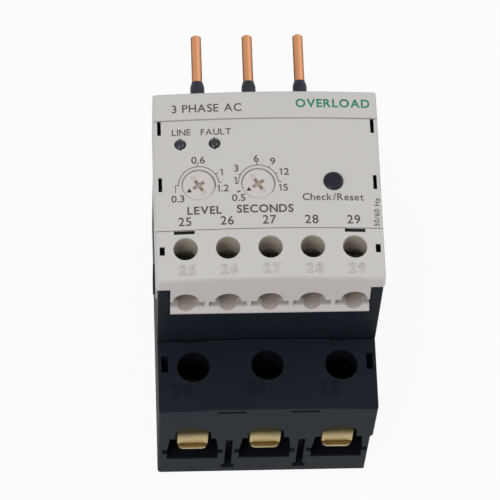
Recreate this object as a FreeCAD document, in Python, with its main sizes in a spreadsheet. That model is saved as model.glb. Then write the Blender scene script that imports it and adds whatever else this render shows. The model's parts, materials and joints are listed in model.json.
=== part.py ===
import FreeCAD, Part
import math
import os
import Sketcher
from enum import IntEnum, auto
from types import SimpleNamespace

# Plug-in electronic overload relay, lying on its back: X across its width, Y towards the line pins,
# Z out of the front face. The origin is the middle of the flat back. Lengths are in millimetres.
DRIVING = {
    # Outer forms
    "body_width": 54.0,
    "body_height": 69.5,
    "face_depth": 73.4,
    "face_crown": 1.3,
    "base_inset": 0.4,
    "load_depth": 41.6,
    "load_crown": 1.23,
    "cover_height": 20.0,
    "floor_wall": 3.0,
    "base_wall": 2.6,
    "cover_wall": 1.8,
    "face_wall": 2.2,
    "seam_gap": 0.22,
    "fit_gap": 0.1,
    "running_gap": 0.05,
    "joint_gap": 0.3,
    # Lines across the front, measured from the seam between cover and terminal block
    "seam_above_bottom": 33.43,
    "bevel_below_seam": 12.88,
    "step_below_seam": 14.88,
    "header_height": 7.1,
    "header_rise": 0.35,
    "header_groove": 0.22,
    "header_groove_sunk": 0.35,
    "lamp_below_header": 6.45,
    "snap_low_above_seam": 10.2,
    "snap_below_header": 0.1,
    "snap_length": 3.75,
    "snap_width": 0.9,
    "snap_from_side": 1.4,
    "snap_sunk": 3.0,
    "tab_from_side": 6.8,
    "tab_width": 4.3,
    "tab_length": 0.55,
    "tab_sunk": 0.8,
    "tab_thick": 1.6,
    "tab_clear": 0.3,
    # Settings on the front
    "current_dial_from_side": 10.55,
    "time_dial_from_side": 24.7,
    "dial_radius": 3.9,
    "dial_gap": 0.15,
    "dial_sunk": 0.3,
    "dial_round": 0.25,
    "dial_collar": 0.9,
    "dial_collar_thick": 1.0,
    "dial_shaft_radius": 1.5,
    "dial_slot_length": 5.4,
    "dial_slot_sunk": 0.3,
    "dial_cross_length": 3.2,
    "dial_cross_sunk": 0.9,
    "dial_slot_width": 0.9,
    "pointer_tip": 3.5,
    "pointer_length": 1.2,
    "pointer_half": 0.66,
    "pointer_sunk": 0.3,
    "trimmer_width": 7.0,
    "trimmer_height": 5.0,
    "trimmer_grip": 3.0,
    "power_lamp_from_side": 6.4,
    "trip_lamp_from_side": 14.6,
    "lamp_radius": 1.35,
    "lamp_proud": 0.15,
    "lamp_length": 4.6,
    "lamp_dome": 1.1,
    "lamp_notch": 0.3,
    "lamp_rim": 0.35,
    "lamp_rim_thick": 0.9,
    "lamp_lead": 0.5,
    "lamp_lead_spread": 1.27,
    "button_from_side": 11.4,
    "button_radius": 2.3,
    "button_proud": 0.7,
    "button_dome": 0.6,
    "button_collar": 0.8,
    "button_collar_thick": 1.0,
    "button_stem_radius": 1.3,
    "button_travel": 1.0,
    "switch_width": 6.0,
    "switch_height": 3.5,
    "plunger_radius": 1.6,
    "plunger_proud": 1.2,
    "plunger_sunk": 1.2,
    # Auxiliary terminals
    "aux_from_side": 3.7,
    "aux_below_seam": 4.93,
    "aux_bore_radius": 2.9,
    "aux_bore_depth": 6.6,
    "aux_entry_radius": 3.0,
    "nose_floor": 0.85,
    "aux_entry_high": 5.8,
    "aux_lug_half": 4.45,
    "aux_lug_low": 11.4,
    "aux_lug_high": 9.2,
    "aux_lug_sunk": 1.6,
    "nose_inset": 3.3,
    "nose_slope": 0.16,
    "nose_lip_slope": 1.0,
    "nose_lip_height": 0.5,
    "nose_lip_reach": 1.1,
    "nose_back": 12.9,
    "nose_wall": 2.8,
    "slab_depth": 3.9,
    "block_wall": 1.6,
    "corner_post": 8.7,
    "aux_room_half": 3.1,
    "aux_plate_gap": 0.3,
    "aux_tongue_thick": 0.8,
    "aux_clamp_length": 6.0,
    "aux_clamp_thick": 0.8,
    "aux_screw_radius": 1.5,
    "aux_screw_length": 4.7,
    "aux_head_radius": 2.5,
    "aux_head_height": 2.0,
    "aux_leg_half": 1.4,
    "block_slot_from_side": 1.5,
    "block_slot_width": 1.2,
    "block_slot_below_seam": 4.13,
    "block_slot_length": 2.2,
    # Load terminals
    "load_from_side": 8.6,
    "load_above_bottom": 11.45,
    "load_bore_radius": 3.95,
    "load_room_half": 6.35,
    "load_room_low": 9.3,
    "load_room_high": 36.6,
    "load_room_wall": 2.0,
    "load_lip_wall": 1.15,
    "load_mouth_shoulder": 23.2,
    "load_shoulder_half": 5.75,
    "load_arch_half": 4.4,
    "load_arch_rise": 4.3,
    "load_arch_top": 30.4,
    "load_notch_reach": 1.15,
    "load_notch_low": 12.9,
    "load_notch_high": 15.6,
    "load_plate_half": 3.95,
    "load_plate_round": 1.8,
    "load_tongue_depth": 14.9,
    "load_tongue_thick": 0.9,
    "load_tongue_inset": 0.55,
    "load_clamp_thick": 1.5,
    "load_clamp_height": 12.4,
    "load_clamp_bend": 0.7,
    "load_clamp_edge": 0.4,
    "load_clamp_back_gap": 1.4,
    "load_screw_radius": 2.0,
    "load_screw_length": 12.8,
    "load_head_radius": 3.6,
    "load_head_height": 2.6,
    "load_boss_half": 3.2,
    "load_boss_reach": 4.7,
    "load_slot_from_side": 1.65,
    "load_slot_width": 1.6,
    "load_slot_length": 4.3,
    "load_slot_above_bottom": 12.5,
    "load_slot_sunk": 5.0,
    "key_width": 1.75,
    "key_high": 21.8,
    "key_low": 5.0,
    "key_foot": 3.2,
    "key_foot_low": 2.5,
    "key_sunk": 4.0,
    "groove_length": 7.0,
    "groove_width": 1.1,
    "groove_drop": 0.5,
    "groove_sunk": 1.2,
    "wall_groove_width": 0.3,
    "wall_groove_under": 0.1,
    "wall_groove_sunk": 0.6,
    "wall_pocket_from_side": 8.5,
    "wall_pocket_length": 5.0,
    "wall_pocket_width": 0.75,
    "side_step": 0.8,
    "side_step_high": 23.0,
    "lug_rise": 0.5,
    "lug_height": 4.0,
    "lug_low": 20.0,
    "lug_high": 30.0,
    "lug_above_seam": 7.0,
    "back_core": 1.2,
    "back_rim": 5.0,
    "back_rib": 4.0,
    # Line pins and current sensing
    "pin_pitch": 13.0,
    "pin_shift": -2.0,
    "pin_depth": 40.4,
    "pin_radius": 1.3,
    "pin_root_radius": 1.5,
    "pin_reach": 33.55,
    "pin_bare": 13.3,
    "pin_tip": 0.3,
    "sleeve_radius": 1.8,
    "sleeve_taper": 1.3,
    "sleeve_end": 1.45,
    "sleeve_tail": 1.2,
    "collar_radius": 3.0,
    "collar_height": 1.5,
    "ring_radius": 5.6,
    "ring_hole": 2.4,
    "ring_height": 9.0,
    "ring_above_seam": 13.3,
    "ring_cheek": 1.0,
    "ring_cover": 1.2,
    "strap_thick": 1.5,
    "strap_below_seam": 3.7,
    "strap_top_half": 3.0,
    "strap_top_high": 3.0,
    "strap_top_low": 4.4,
    "strap_neck": 30.0,
    # Boards
    "board_thick": 1.6,
    "board_under_nose": 1.1,
    "board_seat": 0.8,
    "lip_gap": 0.2,
    "ledge": 1.4,
    "sensor_above_seam": 3.3,
    "sensor_top_gap": 2.2,
    "relay_side_gap": 2.2,
    "relay_top_gap": 1.8,
    "relay_width": 18.0,
    "relay_length": 12.0,
    "relay_height": 10.5,
    "relay_round": 0.8,
    "capacitor_relay_gap": 4.0,
    "capacitor_top_gap": 4.3,
    "capacitor_radius": 4.0,
    "capacitor_height": 10.0,
    "capacitor_waist": 0.4,
    "chip_from_side": 20.5,
    "chip_above_seam": 4.5,
    "chip_width": 9.0,
    "chip_length": 5.0,
    "chip_height": 1.4,
    "corner_round": 0.6,
    "edge_round": 0.5,
    "lip_round": 0.2,
    "foot_round": 0.8,
}
LINE_COUNT = 3
AUX_COUNT = 5
# Where the dials and the button are between the seam and the header
DIAL_SHARE = 0.403
BUTTON_SHARE = 0.418


class Size:
    """A length from the sheet, or worked out from some: its value, and the expression that binds it."""

    def __init__(self, value, text):
        self.value = value
        self.text = text

    def __add__(self, other):
        other = as_size(other)
        return Size(self.value + other.value, f"({self.text} + {other.text})")

    def __sub__(self, other):
        other = as_size(other)
        return Size(self.value - other.value, f"({self.text} - {other.text})")

    def __mul__(self, other):
        other = as_size(other)
        return Size(self.value * other.value, f"({self.text} * {other.text})")

    def __truediv__(self, other):
        other = as_size(other)
        return Size(self.value / other.value, f"({self.text} / {other.text})")

    def __rsub__(self, other):
        return as_size(other) - self

    def __neg__(self):
        return as_size(0) - self

    __radd__ = __add__
    __rmul__ = __mul__


def as_size(number):
    """A plain number as a Size, for use beside the sheet's lengths."""
    if isinstance(number, Size):
        return number
    return Size(float(number), f"({float(number)})")


doc = FreeCAD.newDocument("overload_relay")
sheet = doc.addObject("Spreadsheet::Sheet", "Sizes")
for row, (name, number) in enumerate(DRIVING.items(), 1):
    sheet.set(f"A{row}", name)
    sheet.set(f"B{row}", str(number))
    sheet.setAlias(f"B{row}", name)
doc.recompute()
s = SimpleNamespace(**{name: Size(number, f"Sizes.{name}") for name, number in DRIVING.items()})


# Sketches and features

PLANES = {"xy": "XY_Plane", "xz": "XZ_Plane", "yz": "YZ_Plane"}
VOLUME_STEP = 1e-6


class Spot(IntEnum):
    """The points of a sketch edge, in the order a sketch counts them."""

    START = auto()
    END = auto()
    CENTRE = auto()


def rectangle(low_u, high_u, low_v, high_v):
    """The corners of a rectangle in its sketch, counter-clockwise."""
    return [(low_u, low_v), (high_u, low_v), (high_u, high_v), (low_u, high_v)]


def square(u, v, half):
    """The corners of a square about a middle."""
    return rectangle(u - half, u + half, v - half, v + half)


def crowned(half, low, high, crown):
    """A rectangle across X whose upper side bulges by the crown."""
    return [(-half, low), (half, low), (half, high, crown), (-half, high)]


def pin_point(sketch, edge, end, u, v):
    """Bind both coordinates of a point of a sketch."""
    for kind, size in (("DistanceX", u), ("DistanceY", v)):
        size = as_size(size)
        index = sketch.addConstraint(Sketcher.Constraint(kind, edge, end, size.value))
        sketch.setExpression(f"Constraints[{index}]", size.text)


def add_outline(sketch, corners):
    """A closed outline, bound corner by corner. A third value makes the edge from that corner bulge by it."""
    points = [FreeCAD.Vector(as_size(c[0]).value, as_size(c[1]).value, 0) for c in corners]
    edges = []
    for here, corner in enumerate(corners):
        first = points[here]
        second = points[(here + 1) % len(points)]
        if len(corner) == 3:
            half = (corners[here][0] - corners[(here + 1) % len(corners)][0]) / 2
            bulge = corner[2]
            radius = (half * half + bulge * bulge) / (2 * bulge)
            middle = (first + second) / 2 + FreeCAD.Vector(0, bulge.value, 0)
            edge = sketch.addGeometry(Part.Arc(first, middle, second), False)
            index = sketch.addConstraint(Sketcher.Constraint("Radius", edge, radius.value))
            sketch.setExpression(f"Constraints[{index}]", radius.text)
        else:
            edge = sketch.addGeometry(Part.LineSegment(first, second), False)
        edges.append(edge)
    for here, corner in enumerate(corners):
        joined = (edges[here - 1], Spot.END, edges[here], Spot.START)
        sketch.addConstraint(Sketcher.Constraint("Coincident", *joined))
        pin_point(sketch, edges[here], Spot.START, corner[0], corner[1])


def add_circle(sketch, u, v, radius):
    """A circle bound by its centre and radius."""
    u, v, radius = as_size(u), as_size(v), as_size(radius)
    centre = FreeCAD.Vector(u.value, v.value, 0)
    edge = sketch.addGeometry(Part.Circle(centre, FreeCAD.Vector(0, 0, 1), radius.value), False)
    pin_point(sketch, edge, Spot.CENTRE, u, v)
    index = sketch.addConstraint(Sketcher.Constraint("Radius", edge, radius.value))
    sketch.setExpression(f"Constraints[{index}]", radius.text)


class Moulding:
    """One piece: a body built up from sketches on its own origin planes."""

    def __init__(self, label):
        self.body = doc.addObject("PartDesign::Body", label)
        self.body.Label = label

    def sketch(self, plane, level, shapes, u=0, v=0):
        """A sketch on a plane at a level along that plane's axis, with its origin moved to u, v."""
        sketch = self.body.newObject("Sketcher::SketchObject", f"{self.body.Label}_sketch")
        planes = self.body.Origin.OriginFeatures
        support = next(p for p in planes if p.Role == PLANES[plane])
        sketch.AttachmentSupport = [(support, "")]
        sketch.MapMode = "FlatFace"
        level = -as_size(level) if plane == "xz" else as_size(level)
        sketch.setExpression("AttachmentOffset.Base.x", as_size(u).text)
        sketch.setExpression("AttachmentOffset.Base.y", as_size(v).text)
        sketch.setExpression("AttachmentOffset.Base.z", level.text)
        for shape in shapes:
            if isinstance(shape, tuple):
                add_circle(sketch, *shape)
            else:
                add_outline(sketch, shape)
        return sketch

    def feature(self, kind, plane, low, high, shapes):
        """A pad or pocket between two levels. Outlines are lists of corners, circles are (u, v, radius)."""
        level = high if plane == "xz" else low
        feature = self.body.newObject(f"PartDesign::{kind}", f"{self.body.Label}_{kind.lower()}")
        feature.Profile = self.sketch(plane, level, shapes)
        feature.setExpression("Length", (as_size(high) - low).text)
        self.body.Tip = feature
        return feature

    def pad(self, plane, low, high, *shapes):
        self.feature("Pad", plane, low, high, shapes)
        return self

    def pocket(self, plane, low, high, *shapes):
        doc.recompute()
        before = self.body.Shape.Volume
        self.feature("Pocket", plane, low, high, shapes).Reversed = True
        doc.recompute()
        if self.body.Shape.Volume > before - VOLUME_STEP:
            raise RuntimeError(f"a pocket of {self.body.Label} cuts nothing")
        return self

    def revolve(self, plane, u, v, level, outline):
        """Turn an outline of (radius, height) about the upright axis of its sketch through u, v."""
        solid = self.body.newObject("PartDesign::Revolution", f"{self.body.Label}_turned")
        solid.Profile = self.sketch(plane, level, [outline], u, v)
        solid.ReferenceAxis = (solid.Profile[0], ["V_Axis"])
        solid.Angle = 360
        self.body.Tip = solid
        return self

    def round(self, radius, chosen):
        """Fillet the edges that the test chooses."""
        doc.recompute()
        base = self.body.Tip
        names = [f"Edge{i}" for i, edge in enumerate(base.Shape.Edges, 1) if chosen(edge)]
        if not names:
            raise RuntimeError(f"no edge of {self.body.Label} to round")
        fillet = self.body.newObject("PartDesign::Fillet", f"{self.body.Label}_round")
        fillet.Base = (base, names)
        fillet.setExpression("Radius", as_size(radius).text)
        self.body.Tip = fillet
        return self


CLOSE = 1e-4


def ring_at(edge, z):
    """Whether an edge is a full circle at a height."""
    return len(edge.Vertexes) == 1 and abs(edge.Vertexes[0].Point.z - z.value) < CLOSE


def middle(edge):
    """The point half way along an edge."""
    return edge.valueAt((edge.FirstParameter + edge.LastParameter) / 2)


def ends_at(edge, y, z):
    """Whether an edge ends at both sides on the line through y, z along X."""
    return all(abs(p.Point.y - y.value) < CLOSE and abs(p.Point.z - z.value) < CLOSE for p in edge.Vertexes)


def at_side(point):
    """Whether a point is on one of the two side walls of cover and terminal block."""
    return abs(abs(point.x) - half.value) < CLOSE


def upright_at(edge, x, y):
    """Whether an edge is a straight one along Z through x, y."""
    return all(abs(p.Point.x - x.value) < CLOSE and abs(p.Point.y - y.value) < CLOSE for p in edge.Vertexes)


# Shared lines and levels

half = s.body_width / 2
base_half = half - s.base_inset
top = s.body_height / 2
bottom = -top
seam = bottom + s.seam_above_bottom
bevel = seam - s.bevel_below_seam
step = seam - s.step_below_seam
inner_half = base_half - s.base_wall
inner_low = step + s.base_wall
inner_top = top - s.base_wall
split_depth = s.face_depth - s.cover_height
header_line = top - s.header_height
cover_half = half - s.cover_wall
cover_top = top - s.cover_wall
lamp_y = header_line - s.lamp_below_header
power_lamp_x = s.power_lamp_from_side - half
trip_lamp_x = s.trip_lamp_from_side - half
dial_y = seam + (header_line - seam) * DIAL_SHARE
current_dial_x = s.current_dial_from_side - half
time_dial_x = s.time_dial_from_side - half
button_x = half - s.button_from_side
button_y = seam + (header_line - seam) * BUTTON_SHARE
relay_x = cover_half - s.relay_side_gap - s.relay_width / 2
nose_half = half - s.nose_inset
post_half = nose_half + s.lip_gap
post_top = s.face_depth - s.slab_depth - s.lip_gap
post_inner = seam - s.corner_post - s.lip_gap
post_face = bevel - s.nose_slope * (s.slab_depth + s.lip_gap) - s.fit_gap
nose_bottom = s.face_depth - s.nose_back
board_top = nose_bottom - s.board_under_nose
board_depth = board_top - s.board_thick
ring_bottom = s.pin_depth - s.ring_radius
ledge_top = ring_bottom - s.fit_gap - s.board_thick
load_y = bottom + s.load_above_bottom
aux_y = seam - s.aux_below_seam
tongue_top = s.load_tongue_depth + s.load_tongue_thick
clamp_low = tongue_top + s.joint_gap
clamp_high = clamp_low + s.load_clamp_thick
aux_floor = nose_bottom + s.nose_floor
room_high = inner_low - s.load_room_wall
strap_top = seam - s.strap_below_seam
pin_end = top + s.pin_reach
pin_xs = [s.pin_shift + (i - 1) * s.pin_pitch for i in range(LINE_COUNT)]
load_pitch = base_half - s.load_from_side
load_xs = [(i - 1) * load_pitch for i in range(LINE_COUNT)]
aux_pitch = (nose_half - s.aux_from_side) / 2
aux_xs = [(i - 2) * aux_pitch for i in range(AUX_COUNT)]


def face_at(x):
    """Height of the crowned front face at x."""
    share = x / half
    return s.face_depth + s.face_crown * (1 - share * share)


def wall_at(z):
    """Y of the sloping step wall of the base at height z."""
    share = (z - s.load_depth) / (post_top - s.load_depth)
    return step + (post_face - step) * share


def mirrored(low, high, *v):
    """A rectangle to the right of the middle, and the same to the left."""
    return rectangle(low, high, *v), rectangle(-high, -low, *v)


# Base housing

def base_housing():
    piece = Moulding("base_housing")
    piece.pad("xz", bottom, step, crowned(base_half, as_size(0), s.load_depth, s.load_crown))
    sides = (-base_half, base_half)
    piece.round(s.foot_round, lambda edge: any(upright_at(edge, x, bottom) for x in sides))
    piece.round(s.edge_round, lambda edge: foot_rim(edge, sides))
    piece.pad("yz", -base_half, base_half, [
        (step, as_size(0)), (top, as_size(0)), (top, split_depth),
        (wall_at(split_depth), split_depth), (step, s.load_depth)])
    piece.round(s.corner_round, lambda edge: any(upright_at(edge, x, top) for x in sides))
    lip_half = cover_half - s.lip_gap
    lip_top = cover_top - s.lip_gap
    piece.pad("xy", split_depth, board_depth, rectangle(-lip_half, lip_half, post_inner, lip_top))
    wall_head = nose_bottom - s.fit_gap
    piece.pad("yz", -post_half, post_half, [
        (wall_at(split_depth), split_depth), (inner_low, split_depth), (inner_low, wall_head),
        (wall_at(wall_head), wall_head)])
    post = [
        (wall_at(split_depth), split_depth), (post_inner, split_depth), (post_inner, post_top),
        (post_face, post_top)]
    piece.pad("yz", post_half, base_half, post)
    piece.pad("yz", -base_half, -post_half, post)
    collar_top = top + s.collar_height
    piece.pad("xz", top, collar_top, *[(x, s.pin_depth, s.collar_radius) for x in pin_xs])
    lug_y = seam + s.lug_above_seam
    piece.pad("yz", base_half, base_half + s.lug_rise, rectangle(
        lug_y, lug_y + s.lug_height, s.lug_low, s.lug_high))
    piece.pad("yz", -base_half - s.lug_rise, -base_half, rectangle(
        lug_y, lug_y + s.lug_height, s.lug_low, s.lug_high))
    # Room for the electronics, with a ledge along each side for the sensor board
    piece.pocket("xy", ledge_top, board_depth, rectangle(-inner_half, inner_half, inner_low, inner_top))
    ledge_half = inner_half - s.ledge
    piece.pocket("xy", s.floor_wall, ledge_top, rectangle(-ledge_half, ledge_half, inner_low, inner_top))
    piece.pocket("xz", inner_top, collar_top, *[
        (x, s.pin_depth, s.sleeve_radius + s.fit_gap) for x in pin_xs])
    load_rooms(piece)
    outside_cuts(piece)
    return piece


def foot_rim(edge, sides):
    """Whether an edge borders the load face at its sides or its lower end."""
    point = middle(edge)
    if point.z < s.load_depth.value - CLOSE:
        return False
    return any(along_y_at(edge, x, s.load_depth) for x in sides) or abs(point.y - bottom.value) < CLOSE


def load_rooms(piece):
    """Three rooms for the load terminals, with their mouths, screw bores and slots for the tongues."""
    room_low = bottom + s.load_lip_wall
    piece.pocket("xz", room_low, room_high, *[
        rectangle(x - s.load_room_half, x + s.load_room_half, s.load_room_low, s.load_room_high)
        for x in load_xs])
    piece.pocket("xz", bottom, room_low, *[mouth(x) for x in load_xs])
    piece.pocket("xy", s.load_room_high, s.load_depth + s.load_crown, *[
        (x, load_y, s.load_bore_radius) for x in load_xs])
    slot_half = s.load_plate_half + s.fit_gap
    piece.pocket("xz", room_high, inner_low, *[
        rectangle(x - slot_half, x + slot_half, s.load_tongue_depth - s.running_gap, tongue_top + s.fit_gap)
        for x in load_xs])
    boss_head = s.load_tongue_depth - s.running_gap
    piece.pad("xy", s.load_room_low, boss_head, *[
        rectangle(x - s.load_boss_half, x + s.load_boss_half, load_y - s.load_boss_reach, room_high)
        for x in load_xs])
    tip = clamp_high + s.running_gap - s.load_screw_length
    piece.pocket("xy", tip - s.joint_gap * 2, boss_head, *[
        (x, load_y, s.load_screw_radius + s.joint_gap) for x in load_xs])


def mouth(x):
    """The mouth of one load terminal: a wide foot with side notches, and a narrower round arch."""
    wide, narrow = s.load_room_half, s.load_shoulder_half
    notch = wide + s.load_notch_reach
    arch, rise = s.load_arch_half, s.load_arch_rise
    low, shoulder, spring = s.load_room_low, s.load_mouth_shoulder, s.load_arch_top - rise
    return [
        (x - wide, low), (x + wide, low), (x + wide, s.load_notch_low), (x + notch, s.load_notch_low),
        (x + notch, s.load_notch_high), (x + wide, s.load_notch_high), (x + narrow, shoulder),
        (x + arch, shoulder), (x + arch, spring, rise), (x - arch, spring), (x - arch, shoulder),
        (x - narrow, shoulder), (x - wide, s.load_notch_high), (x - notch, s.load_notch_high),
        (x - notch, s.load_notch_low), (x - wide, s.load_notch_low)]


def along_y_at(edge, x, z):
    """Whether an edge is a straight one along Y through x, z."""
    return all(abs(p.Point.x - x.value) < CLOSE and abs(p.Point.z - z.value) < CLOSE for p in edge.Vertexes)


def outside_cuts(piece):
    """Slots, key ways, grooves, the stepped side and the cored back."""
    slot_start = bottom + s.load_slot_above_bottom - s.load_slot_length / 2
    slot_low = base_half - s.load_slot_from_side - s.load_slot_width / 2
    piece.pocket("xy", s.load_depth - s.load_slot_sunk, s.load_depth + s.load_crown, *mirrored(
        slot_low, slot_low + s.load_slot_width, slot_start, slot_start + s.load_slot_length))
    key_half, foot_half = s.key_width / 2, s.key_foot / 2
    key_x = load_pitch / 2
    for x in (-key_x, key_x):
        piece.pocket("xz", bottom, bottom + s.key_sunk, [
            (x - foot_half, s.key_foot_low), (x + foot_half, s.key_foot_low), (x + foot_half, s.key_low),
            (x + key_half, s.key_low), (x + key_half, s.key_high), (x - key_half, s.key_high),
            (x - key_half, s.key_low), (x - foot_half, s.key_low)])
    groove_high = s.load_depth - s.groove_drop
    piece.pocket("xz", bottom, bottom + s.groove_sunk, *mirrored(
        key_x - s.groove_length / 2, key_x + s.groove_length / 2, groove_high - s.groove_width, groove_high))
    wall_groove(piece)
    piece.pocket("xy", as_size(0), s.side_step_high, rectangle(
        base_half - s.side_step, base_half, bottom, step))
    core_half = base_half - s.back_rim
    piece.pocket("xy", as_size(0), s.back_core, *mirrored(
        s.back_rib / 2, core_half, bottom + s.back_rim, top - s.back_rim))


def wall_groove(piece):
    """The dark groove where the step wall stands on the load face, wider beside the outer terminals."""
    low, high = s.load_depth - s.wall_groove_sunk, s.load_depth + s.load_crown
    piece.pocket("xy", low, high, rectangle(
        -base_half, base_half, step - s.wall_groove_width, step + s.wall_groove_under))
    middle_x = base_half - s.wall_pocket_from_side
    reach = s.wall_pocket_length / 2
    piece.pocket("xy", low, high, *mirrored(
        middle_x - reach, middle_x + reach, step - s.wall_pocket_width, step))


# Front cover and terminal block

def front_cover():
    piece = Moulding("front_cover")
    piece.pad("xz", seam, top, crowned(half, split_depth, s.face_depth, s.face_crown))
    sides = (-half, half)
    piece.round(s.edge_round, lambda edge: any(along_y_at(edge, x, s.face_depth) for x in sides))
    piece.pad("xz", header_line, top, crowned(
        half, split_depth, s.face_depth + s.header_rise, s.face_crown))
    piece.round(s.corner_round, lambda edge: any(upright_at(edge, x, top) for x in sides))
    piece.round(s.edge_round, header_rim)
    piece.pocket("xz", header_line - s.header_groove, header_line, crown_waste(
        s.face_depth - s.header_groove_sunk))
    tab_high = s.face_depth - s.tab_sunk
    tab_inner = half - s.tab_from_side - s.tab_width / 2
    piece.pad("xy", tab_high - s.tab_thick, tab_high, *mirrored(
        tab_inner, tab_inner + s.tab_width, seam - s.tab_length, seam + s.cover_wall))
    inner_foot = seam + s.cover_wall
    piece.pocket("xz", inner_foot, cover_top, crowned(
        cover_half, split_depth, s.face_depth - s.face_wall, s.face_crown))
    piece.pocket("xz", seam, inner_foot, rectangle(
        -cover_half, cover_half, split_depth, board_top + s.aux_head_height))
    front = s.face_depth + s.face_crown
    behind = s.face_depth - s.face_wall
    piece.pocket("xy", behind, front, *[
        (x, dial_y, s.dial_radius + s.dial_gap) for x in (current_dial_x, time_dial_x)])
    lamp_hole = s.lamp_radius + s.fit_gap
    notch = lamp_hole + s.lamp_notch
    for x in (power_lamp_x, trip_lamp_x):
        piece.pocket("xy", behind, front, (x, lamp_y, lamp_hole))
        piece.pocket("xy", behind, front, [
            (x + lamp_hole, lamp_y), (x, lamp_y + notch), (x - lamp_hole, lamp_y), (x, lamp_y - notch)])
    piece.pocket("xy", behind, front, (button_x, button_y, s.button_radius + s.fit_gap))
    slot_low = half - s.snap_from_side - s.snap_width / 2
    for low in (seam + s.snap_low_above_seam, header_line - s.snap_below_header - s.snap_length):
        piece.pocket("xy", s.face_depth - s.snap_sunk, front, *mirrored(
            slot_low, slot_low + s.snap_width, low, low + s.snap_length))
    return piece


def header_rim(edge):
    """Whether an edge is between the header's front and its sides or top."""
    point = middle(edge)
    outer = at_side(point) or abs(point.y - top.value) < CLOSE
    return outer and point.z > (s.face_depth + s.header_rise).value - CLOSE


def nose_at(drop):
    """Y of the sloping lower wall of the terminal block at a drop below the front face's edge."""
    return bevel - s.nose_slope * drop


def terminal_block():
    piece = Moulding("terminal_block")
    head = s.face_depth + s.face_crown
    head_y = nose_at(-s.face_crown)
    edge_y = seam - s.seam_gap
    lip_low = s.nose_back - s.nose_lip_height
    lip_high = lip_low - s.nose_lip_slope
    lip = nose_at(lip_high)
    lip_reach = lip - s.nose_lip_reach
    piece.pad("yz", -nose_half, nose_half, [
        (edge_y, nose_bottom), (edge_y, head), (head_y, head), (lip, s.face_depth - lip_high),
        (lip_reach, s.face_depth - lip_low), (lip_reach, nose_bottom)])
    slab_low = s.face_depth - s.slab_depth
    piece.pad("yz", -half, half, [
        (edge_y, slab_low), (edge_y, head), (head_y, head), (nose_at(s.slab_depth), slab_low)])
    side_low = seam - s.corner_post
    piece.pad("xy", split_depth, slab_low, *mirrored(cover_half, half, side_low, edge_y))
    piece.pocket("xz", lip_reach, edge_y, crown_waste(s.face_depth))
    piece.round(s.edge_round, lambda edge: block_rim(edge, slab_low, head_y))
    piece.round(s.lip_round, lambda edge: ends_at(edge, lip_reach, s.face_depth - lip_low))
    room_low = nose_at(s.slab_depth) + s.nose_wall
    room_back = edge_y - s.block_wall
    room_top = s.face_depth - s.aux_bore_depth
    piece.pocket("xy", nose_bottom, room_top, *[
        rectangle(x - s.aux_room_half, x + s.aux_room_half, room_low, room_back) for x in aux_xs])
    piece.pocket("xy", room_top, head, *[(x, aux_y, s.aux_bore_radius) for x in aux_xs])
    entry_low = aux_floor + s.aux_entry_radius
    entry_high = s.face_depth - s.aux_entry_high - s.aux_entry_radius
    for level in (entry_low, entry_high):
        piece.pocket("xz", lip_reach, room_low, *[(x, level, s.aux_entry_radius) for x in aux_xs])
    piece.pocket("xz", lip_reach, room_low, *[
        rectangle(x - s.aux_entry_radius, x + s.aux_entry_radius, entry_low, entry_high) for x in aux_xs])
    lug_low, lug_high = s.face_depth - s.aux_lug_low, s.face_depth - s.aux_lug_high
    piece.pocket("xz", lip_reach, nose_at(s.aux_lug_high) + s.aux_lug_sunk, *[
        rectangle(x - s.aux_lug_half, x + s.aux_lug_half, lug_low, lug_high) for x in aux_xs])
    tab_x = half - s.tab_from_side
    tab_room = s.tab_width / 2 + s.tab_clear
    piece.pocket("xy", slab_low, head, *mirrored(
        tab_x - tab_room, tab_x + tab_room, seam - s.tab_length - s.tab_clear * 2, edge_y))
    slot_low = half - s.block_slot_from_side - s.block_slot_width / 2
    slot_y = seam - s.block_slot_below_seam
    piece.pocket("xy", s.face_depth - s.snap_sunk, head, *mirrored(
        slot_low, slot_low + s.block_slot_width, slot_y - s.block_slot_length, slot_y))
    return piece


def block_rim(edge, low, ridge):
    """Whether an edge borders the block's front at its sides or its bevel, or the bevel at its sides."""
    point = middle(edge)
    if point.z < low.value + CLOSE:
        return False
    beside = at_side(point) and point.y < (seam - s.seam_gap).value - CLOSE
    return beside or abs(point.y - ridge.value) < CLOSE


def crown_waste(low):
    """The outline above a crowned line that starts at a level, which is cut away."""
    spare = s.face_crown * 2
    high = s.face_depth + s.face_crown + spare
    wide = half + spare
    return [(-half, low), (-wide, low), (-wide, high), (wide, high), (wide, low), (half, low, s.face_crown)]


# Line pins, sleeves, current sensing and load terminals

def turned(label, x, z, outline):
    """A round piece about an axis along Y, from an outline of (radius, Y)."""
    return Moulding(label).revolve("xy", x, as_size(0), z, outline)


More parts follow.
